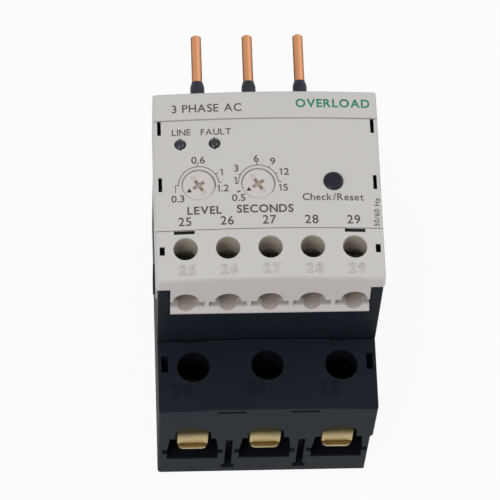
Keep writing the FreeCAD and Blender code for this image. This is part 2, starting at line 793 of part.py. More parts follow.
def line_path(number):
    x, load_x = pin_xs[number - 1], load_xs[number - 1]
    axis = as_size(0)
    tip = s.pin_radius - s.pin_tip
    bare = pin_end - s.pin_bare
    neck = bare - s.sleeve_taper
    turned(f"line_pin_{number}", x, s.pin_depth, [
        (axis, strap_top), (s.pin_root_radius, strap_top), (s.pin_root_radius, neck), (s.pin_radius, bare),
        (s.pin_radius, pin_end - s.pin_tip), (tip, pin_end), (axis, pin_end)])
    hole = s.pin_root_radius + s.running_gap
    tail = inner_top - s.sleeve_tail
    turned(f"pin_sleeve_{number}", x, s.pin_depth, [
        (hole, tail), (s.sleeve_radius, tail), (s.sleeve_radius, neck), (s.sleeve_end, bare),
        (s.pin_radius + s.running_gap, bare), (hole, neck)])
    low = seam + s.ring_above_seam
    high = low + s.ring_height
    core_low, core_high = low + s.ring_cheek, high - s.ring_cheek
    core_radius = s.ring_radius - s.ring_cover
    turned(f"ct_core_{number}", x, s.pin_depth, rectangle(s.ring_hole, core_radius, core_low, core_high))
    turned(f"ct_winding_{number}", x, s.pin_depth, [
        (s.ring_hole, low), (s.ring_radius, low), (s.ring_radius, high), (s.ring_hole, high),
        (s.ring_hole, core_high), (core_radius, core_high), (core_radius, core_low),
        (s.ring_hole, core_low)])
    load_strap(number, x, load_x)
    load_clamp(number, load_x)
    screw(f"load_screw_{number}", load_x, load_y, clamp_high + s.running_gap, SimpleNamespace(
        shank=s.load_screw_radius, length=s.load_screw_length, head=s.load_head_radius,
        height=s.load_head_height))


def load_strap(number, x, load_x):
    """Brass strap from the foot of a line pin down to the load terminal, with its tongue."""
    piece = Moulding(f"load_strap_{number}")
    left, right = load_x - s.load_plate_half, load_x + s.load_plate_half
    neck_left, neck_right = x - s.strap_top_half, x + s.strap_top_half
    neck = s.pin_depth - s.strap_top_low
    head = s.pin_depth + s.strap_top_high
    piece.pad("xz", strap_top - s.strap_thick, strap_top, [
        (left, s.load_tongue_depth), (right, s.load_tongue_depth), (right, s.strap_neck),
        (neck_right, neck), (neck_right, head), (neck_left, head), (neck_left, neck), (left, s.strap_neck)])
    outer = bottom + s.load_tongue_inset
    piece.pad("xy", s.load_tongue_depth, tongue_top, rectangle(left, right, outer, strap_top))
    piece.pocket("xy", s.load_tongue_depth, tongue_top, (load_x, load_y, s.load_screw_radius + s.fit_gap))
    piece.round(s.load_plate_round, lambda edge: any(upright_at(edge, side, outer) for side in (left, right)))


def load_clamp(number, load_x):
    """Bent brass clamp that the load screw draws down on the tongue, its front leaf behind the mouth."""
    piece = Moulding(f"load_clamp_{number}")
    left, right = load_x - s.load_plate_half, load_x + s.load_plate_half
    outer = bottom + s.load_lip_wall + s.lip_gap
    inner = outer + s.load_clamp_thick
    back = room_high - s.load_clamp_back_gap
    head = clamp_low + s.load_clamp_height
    piece.pad("yz", left, right, [
        (outer, clamp_low), (back, clamp_low), (back, clamp_high), (inner, clamp_high), (inner, head),
        (outer, head)])
    piece.round(s.load_clamp_bend, lambda edge: ends_at(edge, outer, clamp_low))
    piece.round(s.load_clamp_edge, lambda edge: leaf_edge(edge, outer, (left, right)))
    piece.pocket("xy", clamp_low, clamp_high, (load_x, load_y, s.load_screw_radius + s.running_gap))


def leaf_edge(edge, y, sides):
    """Whether an edge is one of the two upright ones of a clamp's front leaf."""
    return any(upright_at(edge, x, y) for x in sides)


SLOT_SHARE = 0.72
SLOT_WIDTH_SHARE = 0.26
SLOT_SUNK_SHARE = 0.45


def screw(label, x, y, seat, sizes):
    """A cheese-head screw with a cross slot, its head seated at a level."""
    piece = Moulding(label)
    axis = as_size(0)
    head = seat + sizes.height
    tip = seat - sizes.length
    piece.revolve("xz", x, axis, y, [
        (axis, tip), (sizes.shank, tip), (sizes.shank, seat), (sizes.head, seat), (sizes.head, head),
        (axis, head)])
    reach, width = sizes.head * SLOT_SHARE, sizes.shank * SLOT_WIDTH_SHARE
    sunk = head - sizes.height * SLOT_SUNK_SHARE
    piece.pocket("xy", sunk, head, rectangle(x - reach, x + reach, y - width, y + width))
    piece.pocket("xy", sunk, head, rectangle(x - width, x + width, y - reach, y + reach))


def aux_terminal(number):
    x = aux_xs[number - 1]
    room = s.aux_room_half - s.joint_gap
    back = seam - s.seam_gap - s.block_wall - s.joint_gap
    front = nose_at(s.slab_depth) + s.nose_wall + s.joint_gap
    tongue = Moulding(f"aux_tongue_{number}")
    tongue_low = aux_floor - s.aux_tongue_thick
    tongue.pad("xy", tongue_low, aux_floor, rectangle(x - room, x + room, front, back))
    tongue.pad("xy", board_top, aux_floor, rectangle(
        x - s.aux_leg_half, x + s.aux_leg_half, back - s.aux_tongue_thick, back))
    tongue.pocket("xy", tongue_low, aux_floor, (x, aux_y, s.aux_screw_radius + s.fit_gap))
    clamp = Moulding(f"aux_clamp_{number}")
    low = aux_floor + s.aux_plate_gap
    high = low + s.aux_clamp_thick
    reach = s.aux_clamp_length / 2
    clamp.pad("xy", low, high, rectangle(x - room, x + room, aux_y - reach, aux_y + reach))
    clamp.pocket("xy", low, high, (x, aux_y, s.aux_screw_radius + s.running_gap))
    screw(f"aux_screw_{number}", x, aux_y, high + s.running_gap, SimpleNamespace(
        shank=s.aux_screw_radius, length=s.aux_screw_length, head=s.aux_head_radius,
        height=s.aux_head_height))


# Boards and what they carry

def circuit_board():
    wide = inner_half + s.board_seat
    narrow = post_half - s.joint_gap
    turn = post_inner + s.joint_gap
    low = inner_low + s.joint_gap
    high = inner_top + s.board_seat / 2
    piece = Moulding("circuit_board")
    piece.pad("xy", board_depth, board_top, [
        (-narrow, low), (narrow, low), (narrow, turn), (wide, turn), (wide, high), (-wide, high),
        (-wide, turn), (-narrow, turn)])
    piece.pocket("xy", board_depth, board_top, *[
        (x, aux_y, s.aux_screw_radius + s.joint_gap) for x in aux_xs])


def sensor_board():
    wide = inner_half - s.fit_gap
    Moulding("sensor_board").pad("xy", ledge_top, ledge_top + s.board_thick, rectangle(
        -wide, wide, seam + s.sensor_above_seam, inner_top - s.sensor_top_gap))


def output_relay():
    wide, long = s.relay_width / 2, s.relay_length / 2
    x, y = relay_x, cover_top - s.relay_top_gap - long
    piece = Moulding("output_relay")
    piece.pad("xy", board_top, board_top + s.relay_height, rectangle(
        x - wide, x + wide, y - long, y + long))
    piece.round(s.relay_round, lambda edge: any(
        upright_at(edge, x + i * wide, y + j * long) for i in (-1, 1) for j in (-1, 1)))


def filter_capacitor():
    axis = as_size(0)
    radius, waist = s.capacitor_radius, s.capacitor_radius - s.capacitor_waist
    groove = board_top + s.capacitor_waist * 3
    high = board_top + s.capacitor_height
    x = relay_x - s.relay_width / 2 - s.capacitor_relay_gap - radius
    y = cover_top - s.capacitor_top_gap - radius
    Moulding("filter_capacitor").revolve("xz", x, axis, y, [
        (axis, board_top), (radius, board_top), (radius, groove), (waist, groove + s.capacitor_waist),
        (radius, groove + s.capacitor_waist * 2), (radius, high - s.capacitor_waist),
        (radius - s.capacitor_waist, high), (axis, high)])


def control_chip():
    x, y = half - s.chip_from_side, seam + s.chip_above_seam
    wide, long = s.chip_width / 2, s.chip_length / 2
    Moulding("control_chip").pad("xy", board_top, board_top + s.chip_height, rectangle(
        x - wide, x + wide, y - long, y + long))


# Dials, lamps and the reset button

POINTER_X = math.cos(math.radians(213))
POINTER_Y = math.sin(math.radians(213))


def pointer(x, y):
    """The sunk triangle near a dial's rim that points at the lowest mark of its scale."""
    tail = s.pointer_tip - s.pointer_length
    tail_x, tail_y = x + tail * POINTER_X, y + tail * POINTER_Y
    side_x, side_y = s.pointer_half * POINTER_Y, s.pointer_half * POINTER_X
    return [
        (tail_x + side_x, tail_y - side_y), (x + s.pointer_tip * POINTER_X, y + s.pointer_tip * POINTER_Y),
        (tail_x - side_x, tail_y + side_y)]


def bar(x, y, reach, width, along_x, along_y):
    """A slot about a middle, along a direction."""
    end_x, end_y = reach * along_x, reach * along_y
    side_x, side_y = -width * along_y, width * along_x
    return [
        (x - end_x - side_x, y - end_y - side_y), (x + end_x - side_x, y + end_y - side_y),
        (x + end_x + side_x, y + end_y + side_y), (x - end_x + side_x, y - end_y + side_y)]


def dial(label, x):
    """A setting dial with a collar behind the cover, a cross slot, a pointer and a shaft in its trimmer."""
    y = dial_y
    axis = as_size(0)
    face = face_at(x) - s.dial_sunk
    rim = s.dial_radius + s.dial_collar
    shoulder = face_at(x - rim) - s.face_wall - s.joint_gap
    collar = shoulder - s.dial_collar_thick
    foot = board_top + s.trimmer_height - s.trimmer_grip
    piece = Moulding(f"{label}_dial")
    piece.revolve("xz", x, axis, y, [
        (axis, foot), (s.dial_shaft_radius, foot), (s.dial_shaft_radius, collar), (rim, collar),
        (rim, shoulder), (s.dial_radius, shoulder), (s.dial_radius, face), (axis, face)])
    piece.round(s.dial_round, lambda edge: ring_at(edge, face))
    width = s.dial_slot_width / 2
    reach, arm = s.dial_slot_length / 2, s.dial_cross_length / 2
    piece.pocket("xy", face - s.dial_slot_sunk, face, bar(x, y, reach, width, -POINTER_Y, POINTER_X))
    sunk = face - s.dial_cross_sunk
    piece.pocket("xy", sunk, face, bar(x, y, arm, width, -POINTER_Y, POINTER_X))
    piece.pocket("xy", sunk, face, bar(x, y, arm, width, POINTER_X, POINTER_Y))
    piece.pocket("xy", face - s.pointer_sunk, face, pointer(x, y))
    trimmer = Moulding(f"{label}_trimmer")
    half_width = s.trimmer_width / 2
    head = board_top + s.trimmer_height
    trimmer.pad("xy", board_top, head, square(x, y, half_width))
    trimmer.pocket("xy", foot - s.fit_gap, head, (x, y, s.dial_shaft_radius + s.running_gap))


def lamp(label, x):
    """A small lamp on two leads, its dome in the cover's hole."""
    y = lamp_y
    axis = as_size(0)
    head = face_at(x) + s.lamp_proud
    rim = head - s.lamp_length
    collar = s.lamp_radius + s.lamp_rim
    piece = Moulding(label)
    piece.revolve("xz", x, axis, y, [
        (axis, rim), (collar, rim), (collar, rim + s.lamp_rim_thick), (s.lamp_radius, rim + s.lamp_rim_thick),
        (s.lamp_radius, head), (axis, head)])
    piece.round(s.lamp_dome, lambda edge: ring_at(edge, head))
    lead = s.lamp_lead / 2
    for side in (-s.lamp_lead_spread / 2, s.lamp_lead_spread / 2):
        piece.pad("xy", board_top, rim, square(x + side, y, lead))


def reset_button():
    x, y = button_x, button_y
    axis = as_size(0)
    face = face_at(x) + s.button_proud
    shoulder = face_at(x + s.button_radius * 2) - s.face_wall - s.joint_gap
    collar = shoulder - s.button_collar_thick
    switch_top = board_top + s.switch_height
    plunger_top = switch_top + s.plunger_proud
    piece = Moulding("reset_button")
    piece.revolve("xz", x, axis, y, [
        (axis, plunger_top), (s.button_stem_radius, plunger_top), (s.button_stem_radius, collar),
        (s.button_radius + s.button_collar, collar), (s.button_radius + s.button_collar, shoulder),
        (s.button_radius, shoulder), (s.button_radius, face), (axis, face)])
    piece.round(s.button_dome, lambda edge: ring_at(edge, face))
    plunger_foot = switch_top - s.plunger_sunk
    Moulding("reset_plunger").revolve("xz", x, axis, y, rectangle(
        axis, s.plunger_radius, plunger_foot, plunger_top))
    switch = Moulding("reset_switch")
    switch.pad("xy", board_top, switch_top, square(x, y, s.switch_width / 2))
    switch.pocket("xy", plunger_foot - s.button_travel - s.joint_gap, switch_top, (
        x, y, s.plunger_radius + s.fit_gap))


base_housing()
front_cover()
terminal_block()
for line in range(1, LINE_COUNT + 1):
    line_path(line)
for terminal in range(1, AUX_COUNT + 1):
    aux_terminal(terminal)
circuit_board()
sensor_board()
output_relay()
filter_capacitor()
control_chip()
dial("current", current_dial_x)
dial("time", time_dial_x)
lamp("power_lamp", power_lamp_x)
lamp("trip_lamp", trip_lamp_x)
reset_button()
doc.recompute()

for item in doc.Objects:
    if "Invalid" in item.State or "Error" in item.State:
        raise RuntimeError(f"{item.Label} failed: {item.State}")
os.makedirs("parts", exist_ok=True)
bodies = [item for item in doc.Objects if item.TypeId == "PartDesign::Body"]
for body in bodies:
    if body.Shape.isNull() or not body.Shape.isValid() or len(body.Shape.Solids) != 1:
        raise RuntimeError(f"{body.Label} has no valid shape")
for body in bodies:
    body.Shape.exportStep(f"parts/{body.Label}.step")
print(len(bodies), "pieces written")
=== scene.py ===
import json
import math

import bmesh
import bpy
from mathutils import Matrix, Vector


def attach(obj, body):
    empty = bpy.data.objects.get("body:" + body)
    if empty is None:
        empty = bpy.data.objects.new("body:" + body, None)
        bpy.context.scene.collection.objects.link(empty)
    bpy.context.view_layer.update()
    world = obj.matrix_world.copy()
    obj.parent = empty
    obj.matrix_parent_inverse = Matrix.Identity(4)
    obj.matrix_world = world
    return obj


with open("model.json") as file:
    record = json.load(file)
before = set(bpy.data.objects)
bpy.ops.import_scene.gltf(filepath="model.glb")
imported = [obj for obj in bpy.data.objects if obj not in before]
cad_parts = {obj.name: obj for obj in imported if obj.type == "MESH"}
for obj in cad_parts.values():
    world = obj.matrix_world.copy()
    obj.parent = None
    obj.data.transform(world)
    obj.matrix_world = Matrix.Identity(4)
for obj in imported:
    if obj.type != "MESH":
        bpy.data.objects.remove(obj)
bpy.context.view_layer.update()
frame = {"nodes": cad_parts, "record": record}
nodes = frame["nodes"]

MM = 0.001
PHOTO = 500
GRAIN, GRAIN_DEPTH = 0.16, 0.005


# Finishes: sockets that take part in Python arithmetic, and the trees they belong to

class Signal:
    """An output socket of a finish. An expression on signals adds the Math nodes that work it out."""

    def __init__(self, finish, socket):
        self.finish = finish
        self.socket = socket

    def join(self, operation, first, second):
        return self.finish.node("ShaderNodeMath", {"operation": operation}, {0: first, 1: second})

    def __add__(self, other):
        return self.join("ADD", self, other)

    def __sub__(self, other):
        return self.join("SUBTRACT", self, other)

    def __rsub__(self, other):
        return self.join("SUBTRACT", other, self)

    def __mul__(self, other):
        return self.join("MULTIPLY", self, other)

    def __truediv__(self, other):
        return self.join("DIVIDE", self, other)

    def __pow__(self, other):
        return self.join("POWER", self, other)

    def __gt__(self, other):
        return self.join("GREATER_THAN", self, other)

    def __lt__(self, other):
        return self.join("LESS_THAN", self, other)

    __radd__ = __add__
    __rmul__ = __mul__


class Finish:
    """A material in the making, with a node tree that starts empty."""

    def __init__(self, name):
        self.material = bpy.data.materials.new(name)
        self.material.use_nodes = True
        self.tree = self.material.node_tree
        self.tree.nodes.clear()

    def node(self, kind, settings=None, inputs=None, output=0):
        """Add a node: its settings first, then the values or links of its sockets."""
        node = self.tree.nodes.new(kind)
        for key, value in (settings or {}).items():
            setattr(node, key, value)
        for key, value in (inputs or {}).items():
            if isinstance(value, Signal):
                self.tree.links.new(value.socket, node.inputs[key])
            else:
                node.inputs[key].default_value = value
        return Signal(self, node.outputs[output])

    def place(self):
        """Where a point is on the piece, in metres."""
        return self.node("ShaderNodeTexCoord", output="Object")

    def axis(self, letter):
        """One coordinate of a point on the piece, in millimetres."""
        return self.node("ShaderNodeSeparateXYZ", None, {0: self.place()}, output=letter) / MM

    def noise(self, size_mm, detail=2.0, stretch=(1, 1, 1)):
        """Noise whose cells are about a size, drawn out along the axes with a small stretch."""
        scale = tuple(part / (size_mm * MM) for part in stretch)
        where = self.node("ShaderNodeMapping", None, {"Vector": self.place(), "Scale": scale})
        return self.node("ShaderNodeTexNoise", {"noise_dimensions": "3D"}, {
            "Vector": where, "Scale": 1.0, "Detail": detail, "Roughness": 0.6})

    def cells(self, size_mm):
        """Distance to the nearest point of a scatter whose points are about a size apart."""
        return self.node("ShaderNodeTexVoronoi", {"feature": "F1"}, {
            "Vector": self.place(), "Scale": 1 / (size_mm * MM)})

    def fold(self, signal, pitch):
        """Distance to the nearest point of a row at a pitch, which has a point at 0."""
        return self.node("ShaderNodeMath", {"operation": "PINGPONG"}, {0: signal, 1: pitch / 2})

    def steps(self, signal, low, high):
        """From 0 to 1 while the signal goes from low to high, and flat outside."""
        return self.node("ShaderNodeMapRange", {"interpolation_type": "SMOOTHSTEP"}, {
            "Value": signal, "From Min": low, "From Max": high})

    def between(self, signal, low, high):
        """A value from low to high as the signal goes from 0 to 1."""
        return signal * (high - low) + low

    def tint(self, share, first, second):
        """A colour between two."""
        return self.node("ShaderNodeMix", {"data_type": "RGBA"}, {
            "Factor": share, 6: colour(first), 7: colour(second)}, output=2)

    def relief(self, height, depth_mm):
        """Bump whose full height is a depth in millimetres."""
        return self.node("ShaderNodeBump", None, {
            "Strength": 1.0, "Distance": depth_mm * MM, "Height": height})

    def shader(self, inputs):
        """End the tree in a Principled shader."""
        return self.done(self.node("ShaderNodeBsdfPrincipled", None, inputs))

    def done(self, surface):
        """End the tree in any surface."""
        out = self.tree.nodes.new("ShaderNodeOutputMaterial")
        self.tree.links.new(surface.socket, out.inputs["Surface"])
        return self.material


def colour(value):
    """A colour for a socket, which takes four numbers, or the signal it already is."""
    return value if isinstance(value, Signal) else (*value, 1)


def within(signal, low, high):
    """1 where a signal is between two values, and 0 elsewhere."""
    return (signal > low) * (signal < high)


def span(first, second):
    """How far a point lies from an axis, from its two distances across that axis."""
    return (first * first + second * second) ** 0.5


def sunk(x, z, face, crown, half):
    """How far a point lies below a face that is crowned across its width."""
    return (face + crown) - x * x * (crown / half ** 2) - z


def moulded(name, base, dark, rough, grain_mm=GRAIN, grain_depth=GRAIN_DEPTH,
            specular=0.5, coat=0.0, shaded=None):
    """Moulded plastic: spark-eroded grain, slow changes of shade, and gloss that varies with both."""
    finish = Finish(name)
    cloud = finish.noise(16.0, 3.0)
    speck = finish.noise(0.5)
    grain = finish.noise(grain_mm, 3.0)
    rubbed = finish.steps(finish.noise(5.0, 4.0), 0.55, 0.75)
    shade = finish.tint(cloud * 0.7 + speck * 0.3, dark, base)
    if shaded:
        shade = shaded(finish, shade)
    return finish.shader({
        "Base Color": shade,
        "Roughness": finish.between(cloud * 0.5 + speck * 0.5, rough - 0.06, rough + 0.06) - rubbed * 0.06,
        "Specular IOR Level": specular,
        "Coat Weight": coat,
        "Normal": finish.relief(grain, grain_depth)})


def drawn_metal(name, bright, dull, rough, stretch):
    """Metal drawn or stamped along one axis: long fine lines, and a patchy dull film."""
    finish = Finish(name)
    lines = finish.noise(0.12, 3.0, stretch)
    film = finish.steps(finish.noise(3.5, 3.0), 0.35, 0.7)
    return finish.shader({
        "Base Color": finish.tint(film, bright, dull),
        "Metallic": 1.0,
        "Roughness": finish.between(lines * 0.6 + film * 0.4, rough - 0.08, rough + 0.12),
        "Normal": finish.relief(lines, 0.01)})


def leaf_brass(name, low_mm, high_mm):
    """Brass of a bent clamp: bright at the foot of its leaf, with painted shade that darkens it up to the
    bend, under the arch of its mouth.
    """
    finish = Finish(name)
    lines = finish.noise(0.12, 3.0, (0.05, 1, 1))
    film = finish.noise(3.5, 3.0)
    # Painted shade: the leaf grows dark and dull towards its top, where the arch of the mouth shades it.
    arch_shade = finish.steps(finish.axis("Z") + film * 1.5 - 0.75, low_mm, high_mm)
    clean = finish.tint(film, (0.50, 0.38, 0.168), (0.43, 0.325, 0.135))
    return finish.shader({
        "Base Color": finish.tint(arch_shade, clean, (0.055, 0.047, 0.024)),
        "Metallic": 1 - arch_shade,
        "Specular IOR Level": 0.0,
        "Roughness": finish.between(lines * 0.5 + arch_shade * 0.5, 0.24, 0.46),
        "Normal": finish.relief(lines, 0.01)})


def pin_copper(name):
    """Drawn copper of the line pins: clean on top, and brown with painted shade down the sides."""
    finish = Finish(name)
    lines = finish.noise(0.12, 3.0, (1, 0.02, 1))
    film = finish.noise(3.5, 3.0)
    height = (finish.axis("Z") - PIN_Z) / PIN_RADIUS
    # Painted shade: each pin turns dark brown and less metallic down its sides, away from its lit top.
    side_shade = 1 - finish.steps(height + film * 0.2 - 0.1, *SIDE_SHADE_ENDS)
    clean = finish.tint(film, (1.0, 0.51, 0.28), (0.96, 0.46, 0.23))
    return finish.shader({
        "Base Color": finish.tint(side_shade, clean, (0.16, 0.05, 0.018)),
        "Metallic": 1 - side_shade,
        "Specular IOR Level": 0.0,
        "Roughness": finish.between(lines * 0.6 + film * 0.4, 0.42, 0.58),
        "Normal": finish.relief(lines, 0.01)})


def wound(name, bright, dull, wire_mm):
    """Enamelled wire laid side by side along the axis of a coil, with a painted highlight on each wire's
    crown and painted shade between the wires.
    """
    finish = Finish(name)
    crown = finish.fold(finish.axis("Y"), wire_mm) / (wire_mm / 2)
    patch = finish.noise(2.0, 3.0)
    return finish.shader({
        # Painted highlight and shade: each wire is brighter on its crown and darker where it meets the
        # next.
        "Base Color": finish.tint(crown * 0.6 + patch * 0.4, dull, bright),
        "Metallic": 0.7,
        "Roughness": finish.between(patch, 0.28, 0.42),
        "Normal": finish.relief(crown, wire_mm / 3)})


def board_mask(name):
    """Solder mask over tracks: a dark green field, paler lines where copper lies below, and tinned pads."""
    finish = Finish(name)
    lanes = finish.node("ShaderNodeTexBrick", {"offset": 0.5}, {
        "Vector": finish.place(), "Scale": 160.0, "Mortar Size": 0.05, "Mortar Smooth": 0.2,
        "Color1": (0, 0, 0, 1), "Color2": (0, 0, 0, 1), "Mortar": (1, 1, 1, 1)}, output="Fac")
    pad = finish.cells(2.54) < 0.16
    weave = finish.noise(0.4)
    mask = finish.tint(lanes * 0.7 + weave * 0.3, (0.012, 0.085, 0.040), (0.035, 0.170, 0.080))
    return finish.shader({
        "Base Color": finish.tint(pad, mask, (0.55, 0.54, 0.50)),
        "Metallic": pad * 0.9,
        "Roughness": finish.between(weave, 0.26, 0.40),
        "Normal": finish.relief(lanes + pad, 0.03)})


def set_dial(name, face_mm):
    """A pale dial whose deep cross slot is brown with shade."""
    finish = Finish(name)
    depth = face_mm - finish.axis("Z")
    deep = finish.steps(depth, 0.35, 0.8)
    cloud = finish.noise(3.0, 3.0)
    pale = finish.tint(cloud, (0.594, 0.556, 0.536), (0.636, 0.600, 0.580))
    return finish.shader({
        "Base Color": finish.tint(deep, pale, (0.47, 0.39, 0.32)),
        "Roughness": finish.between(cloud, 0.36, 0.48),
        "Normal": finish.relief(finish.noise(0.3), 0.003)})


def cream_part(name, is_block):
    """The cream moulding with its black snap slots and windows."""
    finish = Finish(name)
    x, y, z = (finish.axis(letter) for letter in "XYZ")
    side = finish.node("ShaderNodeMath", {"operation": "ABSOLUTE"}, {0: x})
    below = sunk(x, z, FACE, CROWN, HALF)
    black = within(side, *SNAP_SIDE) * within(y, *SNAP_REACH) * (below > SNAP_BELOW)
    cloud = finish.noise(16.0, 3.0)
    speck = finish.noise(0.5)
    shade = finish.tint(cloud * 0.7 + speck * 0.3, *CREAM)
    window = within(side, *TAB_SIDE)
    if is_block:
        # Painted shade from block_shade on the terminal block, kept off its outer sides.
        shade = finish.tint(side < BLOCK_INSIDE, shade, block_shade(finish, shade, x, y, z, below))
        black = black + window * (y > BLOCK_TAB_Y) * (below > BLOCK_TAB_BELOW)
    else:
        black = black + window * (y < COVER_TAB_Y) * (below > COVER_TAB_BELOW)
    return finish.shader({
        "Base Color": finish.tint(black, shade, SLOT_BLACK),
        "Roughness": finish.between(cloud * 0.5 + speck * 0.5, 0.46, 0.56),
        "Normal": finish.relief(finish.noise(GRAIN, 3.0), GRAIN_DEPTH)})


def block_shade(finish, shade, x, y, z, below):
    """The terminal block's painted shade: a darker, warmer slope, grey wire entries and lug pockets, and
    brown bores, darker further in.
    """
    inward = y + (FACE - z) * NOSE_SLOPE - NOSE_Y
    # Painted shade: the slope of the nose is darker and a little warmer than the front.
    slope = (1 - finish.steps(inward, *SLOPE_SKIN)) * (below > SLOPE_BELOW)
    shade = finish.tint(slope, shade, SLOPE_SHADE)
    # Painted shade in the lug pockets.
    pocket = finish.steps(below, *POCKET_BELOW) * finish.steps(inward, *POCKET_REACH)
    shade = finish.tint(pocket, shade, POCKET_SHADE)
    # Painted shade in the wire entries, darker further in.
    trough = (span(finish.fold(x, AUX_PITCH), z - ENTRY_Z) < ENTRY_RADIUS) * (y < ENTRY_END)
    grey = finish.tint(finish.steps(inward, *TROUGH_REACH), TROUGH_SHADE, TROUGH_END_SHADE)
    shade = finish.tint(trough, shade, grey)
    # Painted shade in the screw bores: brown below the rim, and darker deep down.
    behind = finish.steps(y, ENTRY_END, ENTRY_END + 1.0)
    shade = finish.tint(finish.steps(below, *BORE_BELOW) * behind, shade, BORE_SHADE)
    return finish.tint(finish.steps(below, *BORE_END_BELOW) * behind, shade, BORE_END_SHADE)


def load_terminals(finish, shade):
    """The black housing, with painted shade that makes its load bores and the rooms below them darker than
    its faces.
    """
    x, y, z = (finish.axis(letter) for letter in "XYZ")
    below = sunk(x, z, LOAD_FACE, LOAD_CROWN, BASE_HALF)
    across = finish.fold(x, LOAD_PITCH)
    # Painted shade in the load bores and in the rooms below them.
    bore = (span(across, y - LOAD_Y) < LOAD_BORE) * finish.steps(below, *LOAD_BORE_BELOW)
    room = (across < ROOM_HALF) * within(y, *ROOM_REACH) * within(z, *ROOM_RISE)
    return finish.tint(bore * (1 - room) + room, shade, LOAD_SHADE)


def ink(name, shade):
    """Screen-printed ink: a little mottled, and duller than the plastic below."""
    finish = Finish(name)
    mottle = finish.noise(0.25, 3.0)
    pale = tuple(part * 1.5 for part in shade)
    return finish.shader({
        "Base Color": finish.tint(finish.steps(mottle, 0.5, 0.8), shade, pale),
        "Roughness": finish.between(mottle, 0.55, 0.70),
        "Normal": finish.relief(mottle, 0.002)})


# Front and load faces, in millimetres

HALF, FACE, CROWN = 27.0, 73.4, 1.3
BASE_HALF, LOAD_FACE, LOAD_CROWN = 26.6, 41.6, 1.23
HEADER_LINE, HEADER_RISE = 27.65, 0.35
NOSE_Y, NOSE_SLOPE = -14.2, 0.16
AUX_PITCH = 10.0
ENTRY_Z, ENTRY_RADIUS, ENTRY_END = 64.47, 3.16, -11.0
BLOCK_INSIDE = 26.4
LOAD_PITCH, LOAD_Y, LOAD_BORE = 18.0, -23.3, 4.0
ROOM_HALF, ROOM_REACH, ROOM_RISE = 6.4, (-34.4, -14.0), (9.2, 36.7)
PIN_Z, PIN_RADIUS = 40.4, 1.3
DIAL_Y = 10.355
CURRENT_X, TIME_X = -16.45, -2.3
DIAL_SUNK, POINTER_SUNK = 0.3, 0.3

# Where the black slots and the painted shade of the mouldings, clamp leaves and pins start and end, in
# millimetres, or radii on the pins

SNAP_SIDE, SNAP_REACH, SNAP_BELOW = (24.85, 26.35), (-8.2, 29), 0.35
TAB_SIDE = (17.5, 22.9)
BLOCK_TAB_Y, BLOCK_TAB_BELOW = -2.75, 0.3
COVER_TAB_Y, COVER_TAB_BELOW = -1.2, 0.9
SLOPE_SKIN, SLOPE_BELOW = (0.05, 0.3), 1.0
POCKET_BELOW, POCKET_REACH = (5.0, 5.6), (0.15, 0.6)
TROUGH_REACH = (-1.0, 3.0)
BORE_BELOW, BORE_END_BELOW = (0.3, 1.2), (7.4, 9.0)
LOAD_BORE_BELOW = (0.2, 1.2)
LEAF_SHADE_ENDS = (19.1, 24.7)
SIDE_SHADE_ENDS = (0.25, 0.92)


def front(x, y):
    """Height of the crowned front."""
    return FACE + CROWN * (1 - (x / HALF) ** 2) + (HEADER_RISE if y > HEADER_LINE else 0)


def load_face(x, y):
    """Height of the crowned face above the load terminals."""
    return LOAD_FACE + LOAD_CROWN * (1 - (x / BASE_HALF) ** 2)


CREAM = ((0.58, 0.562, 0.542), (0.60, 0.583, 0.567))
BLACK = ((0.013, 0.018, 0.025), (0.009, 0.013, 0.018), 0.55)
SLOT_BLACK = (0.012, 0.012, 0.014)
# Painted shade of the terminal block's slope, lug pockets, wire entries and screw bores.
SLOPE_SHADE = (0.545, 0.508, 0.498)
POCKET_SHADE = (0.40, 0.37, 0.34)
TROUGH_SHADE, TROUGH_END_SHADE = (0.45, 0.415, 0.38), (0.27, 0.24, 0.20)
BORE_SHADE, BORE_END_SHADE = (0.47, 0.42, 0.355), (0.36, 0.32, 0.27)
# Painted shade of the load bores and rooms.
LOAD_SHADE = (0.005, 0.006, 0.009)
FINISHES = {
    "black_housing": moulded("black_moulding", *BLACK, specular=0.06),
    "cream_housing": moulded("cream_moulding", CREAM[1], CREAM[0], 0.50),
    "copper": pin_copper("drawn_copper"),
    "brass": drawn_metal("stamped_brass", (0.43, 0.34, 0.175), (0.35, 0.27, 0.14), 0.30, (0.05, 1, 1)),
    "zinc_steel": drawn_metal("plated_steel", (0.52, 0.52, 0.50), (0.38, 0.38, 0.37), 0.34, (1, 1, 0.1)),
    "black_sleeve": moulded("sleeve_vinyl", (0.028, 0.028, 0.050), (0.018, 0.018, 0.032), 0.55, 0.3),
    "button_plastic": moulded(
        "button_moulding", (0.008, 0.009, 0.022), (0.006, 0.007, 0.016), 0.40, 0.4, 0.002, specular=0.4),
    "lamp_lens": moulded(
        "lens_grey", (0.036, 0.034, 0.034), (0.024, 0.023, 0.024), 0.30, 0.8, 0.001, coat=0.3),
    "board": board_mask("board_mask"),
    "core_steel": drawn_metal("wound_core", (0.32, 0.32, 0.33), (0.22, 0.22, 0.23), 0.4, (1, 0.05, 1)),
    "winding": wound("enamelled_wire", (0.60, 0.27, 0.13), (0.30, 0.11, 0.05), 0.5),
    "component_black": moulded("component_moulding", (0.035, 0.035, 0.038), (0.02, 0.02, 0.022), 0.5, 0.2),
    "component_blue": moulded("trimmer_case", (0.05, 0.16, 0.40), (0.04, 0.12, 0.32), 0.35, 0.4, 0.003),
    "component_pale": moulded("relay_case", (0.58, 0.58, 0.55), (0.52, 0.52, 0.49), 0.35, 0.4, 0.003),
}
